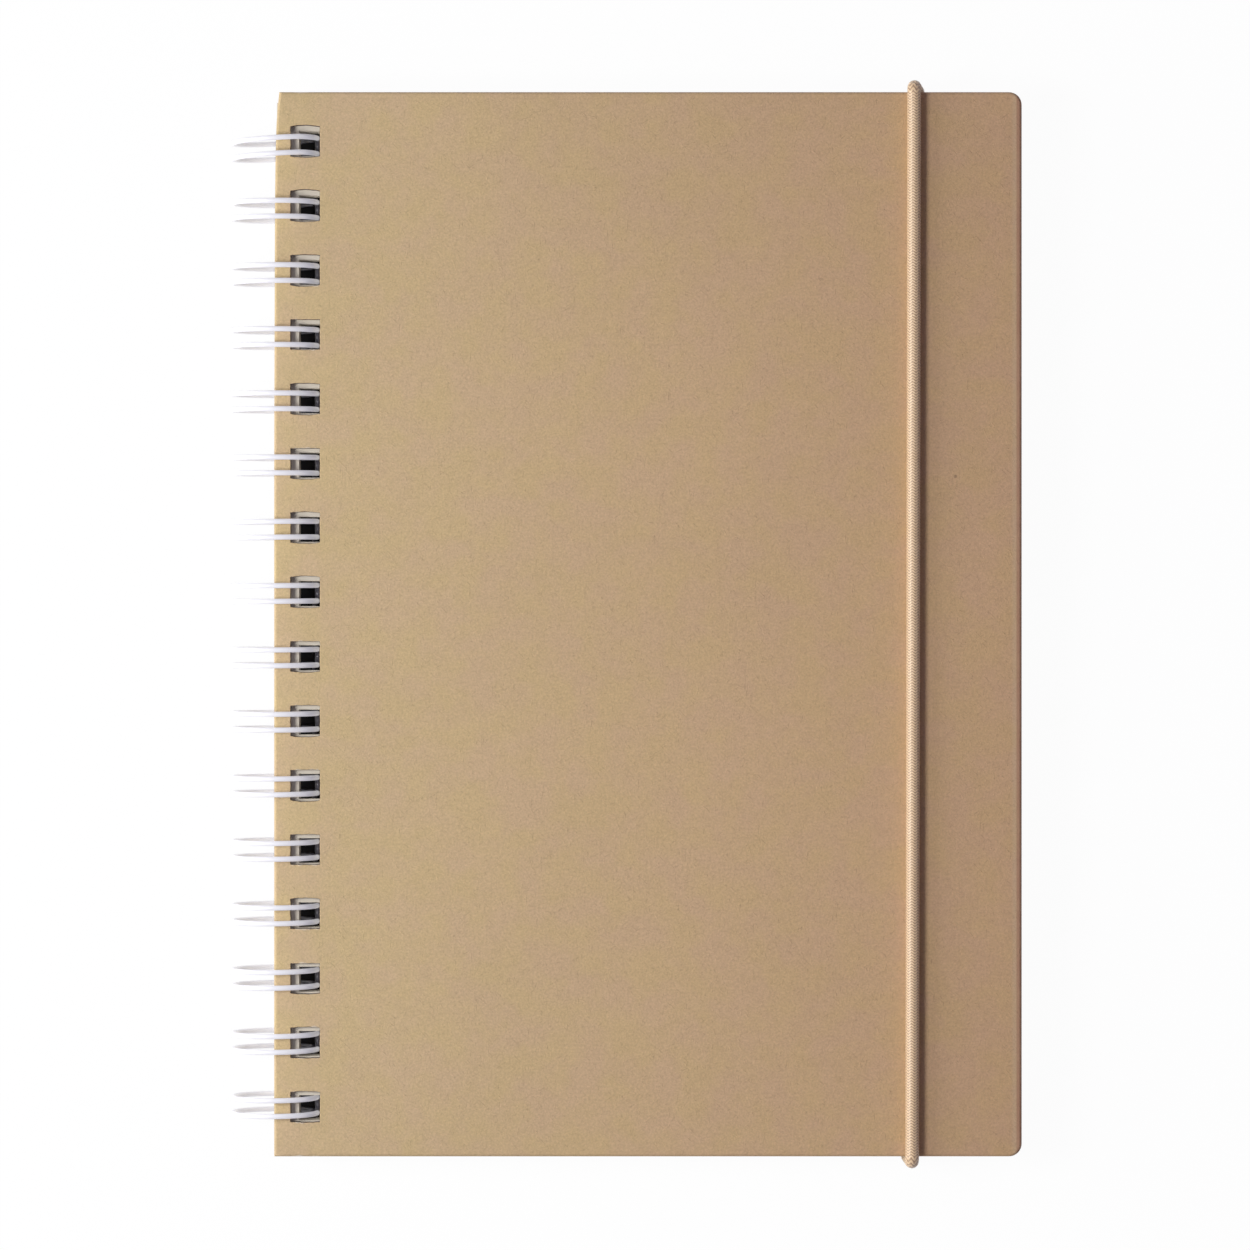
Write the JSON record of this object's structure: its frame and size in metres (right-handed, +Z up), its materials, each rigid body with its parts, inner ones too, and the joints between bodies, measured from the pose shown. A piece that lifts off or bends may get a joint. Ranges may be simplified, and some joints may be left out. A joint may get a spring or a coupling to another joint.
{
  "type": "spiral notebook",
  "caption": "Small kraft-covered notebook with stiff covers, a page block, a white double-loop binding wire and a round brown elastic cord that holds it shut.",
  "frame": {"origin": "under the middle of the closed notebook, on the surface it lies on, which its wire rings and the cord under its back cover touch", "axes": "+X from the spine to the fore-edge, +Y to the head of the pages, +Z up out of the front cover"},
  "size_m": [0.1566, 0.2152, 0.0179],
  "materials": {
    "kraft_board": "matte",
    "pages": "matte",
    "white_wire": "gloss",
    "brown_elastic": "matte",
    "clip_metal": "satin"
  },
  "bodies": {
    "binding": {"page_block": "pages", "binding_wire": "white_wire"},
    "front_cover": {"front_cover": "kraft_board"},
    "back_cover": {"back_cover": "kraft_board", "elastic_cord": "brown_elastic", "cord_clip_head": "clip_metal", "cord_clip_tail": "clip_metal"}
  },
  "joints": [
    {"name": "front_cover_hinge", "type": "hinge", "parent": "binding", "child": "front_cover", "pos_m": [-0.06932, 0, 0.00895], "axis": [0, -1, 0], "range_deg": [0, 180], "deforming": ["elastic_cord"]},
    {"name": "back_cover_hinge", "type": "hinge", "parent": "binding", "child": "back_cover", "pos_m": [-0.06932, 0, 0.00895], "axis": [0, 1, 0], "range_deg": [0, 180], "deforming": ["elastic_cord"]}
  ]
}
